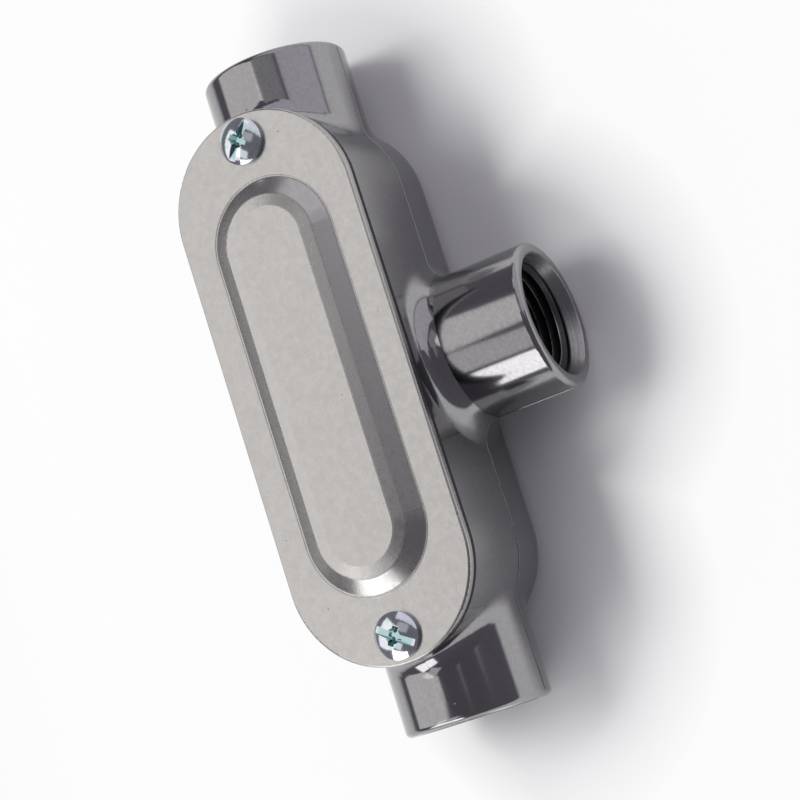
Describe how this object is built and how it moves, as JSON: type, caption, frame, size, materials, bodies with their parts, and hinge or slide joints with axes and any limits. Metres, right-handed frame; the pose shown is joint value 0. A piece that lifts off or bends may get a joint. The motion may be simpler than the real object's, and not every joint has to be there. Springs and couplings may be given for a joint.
{
  "type": "conduit body",
  "caption": "Tee conduit body: oval die-cast box with pipe-threaded hubs at its ends and on one side, closed by a gasket and a raised cover held by screws.",
  "frame": {"origin": "middle of the flat back of the casting", "axes": "+X along the two run hubs, +Y towards the branch hub, +Z out of the cover"},
  "size_m": [0.129, 0.0567, 0.0394],
  "materials": {
    "cast_aluminium": "polished die casting",
    "gasket_rubber": "matt",
    "cover_aluminium": "satin, tumbled",
    "zinc_screw": "bright zinc plate"
  },
  "bodies": {
    "casting": {"body_casting": "cast_aluminium", "cover_gasket": "gasket_rubber"},
    "cover": {"cover_plate": "cover_aluminium"},
    "screw_1": {"cover_screw_1": "zinc_screw"},
    "screw_2": {"cover_screw_2": "zinc_screw"}
  },
  "joints": [
    {"name": "cover_lift", "type": "slide", "parent": "casting", "child": "cover", "axis": [0, 0, 1], "range_m": [0, 0.03]},
    {"name": "screw_1_turn", "type": "hinge", "parent": "cover", "child": "screw_1", "pos_m": [-0.047, 0, 0.037], "axis": [0, 0, 1], "continuous": true},
    {"name": "screw_2_turn", "type": "hinge", "parent": "cover", "child": "screw_2", "pos_m": [0.047, 0, 0.037], "axis": [0, 0, 1], "continuous": true}
  ]
}
